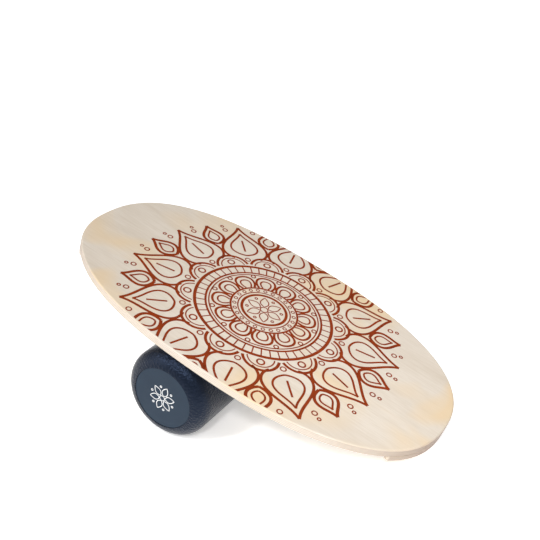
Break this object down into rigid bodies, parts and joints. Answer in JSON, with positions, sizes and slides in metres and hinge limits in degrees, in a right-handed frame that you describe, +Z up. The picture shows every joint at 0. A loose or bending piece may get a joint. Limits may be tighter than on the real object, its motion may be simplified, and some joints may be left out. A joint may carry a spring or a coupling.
{
  "type": "balance board with roller",
  "caption": "Oval plywood balance board with a stop under each end, resting across a loose round roller and leaning with one end on the floor.",
  "frame": {"origin": "on the floor, under the middle of the box round the whole board as it rests", "axes": "+Z up, +X along the board towards the end that rests on the floor, +Y along the roller's axis"},
  "size_m": [0.7068, 0.4594, 0.2908],
  "materials": {
    "birch_face": "satin",
    "birch_long_ply": "satin",
    "birch_cross_ply": "satin",
    "zinc_screw": "satin",
    "grained_shell": "matte",
    "smooth_cover": "satin",
    "inner_moulding": "matte",
    "drawn_tube": "satin",
    "deck_ink": "matte",
    "white_ink": "matte",
    "zinc_steel": "satin"
  },
  "bodies": {
    "core": {"distance_tube": "drawn_tube"},
    "carrier": {"tie_rod": "zinc_steel", "tie_nuts": "zinc_steel", "tie_washers": "zinc_steel"},
    "deck": {"deck_ply_01": "birch_face", "deck_ply_02": "birch_cross_ply", "deck_ply_03": "birch_long_ply", "deck_ply_04": "birch_cross_ply", "deck_ply_05": "birch_long_ply", "deck_ply_06": "birch_cross_ply", "deck_ply_07": "birch_long_ply", "deck_ply_08": "birch_cross_ply", "deck_ply_09": "birch_long_ply", "stop_low_ply_01": "birch_long_ply", "stop_low_ply_02": "birch_cross_ply", "stop_low_ply_03": "birch_long_ply", "stop_low_ply_04": "birch_cross_ply", "stop_low_ply_05": "birch_long_ply", "stop_low_ply_06": "birch_cross_ply", "stop_low_ply_07": "birch_long_ply", "stop_high_ply_01": "birch_long_ply", "stop_high_ply_02": "birch_cross_ply", "stop_high_ply_03": "birch_long_ply", "stop_high_ply_04": "birch_cross_ply", "stop_high_ply_05": "birch_long_ply", "stop_high_ply_06": "birch_cross_ply", "stop_high_ply_07": "birch_long_ply", "stop_low_screws": "zinc_screw", "stop_high_screws": "zinc_screw"},
    "roller": {"roller_drum": "grained_shell", "roller_cover_front": "smooth_cover", "roller_cover_back": "smooth_cover", "roller_end_front": "inner_moulding", "roller_end_back": "inner_moulding", "roller_bulkhead_1": "inner_moulding", "roller_bulkhead_2": "inner_moulding", "roller_bulkhead_3": "inner_moulding", "roller_bulkhead_4": "inner_moulding"}
  },
  "joints": [
    {"name": "deck_tilt", "type": "hinge", "parent": "core", "child": "carrier", "pos_m": [-0.05771, 0, 0.08], "axis": [0, 1, 0], "range_deg": [-45.9, 0]},
    {"name": "deck_travel", "type": "slide", "parent": "carrier", "child": "deck", "axis": [0.9328, 0, -0.3604], "range_m": [-0.3128, 0.252]},
    {"name": "roller_spin", "type": "hinge", "parent": "carrier", "child": "roller", "pos_m": [-0.05771, 0, 0.08], "axis": [0, 1, 0], "range_deg": [-224.5, 181]}
  ],
  "couplings": [
    {"joint": "roller_spin", "follows": "deck_travel", "rad_per_m": 12.5}
  ]
}
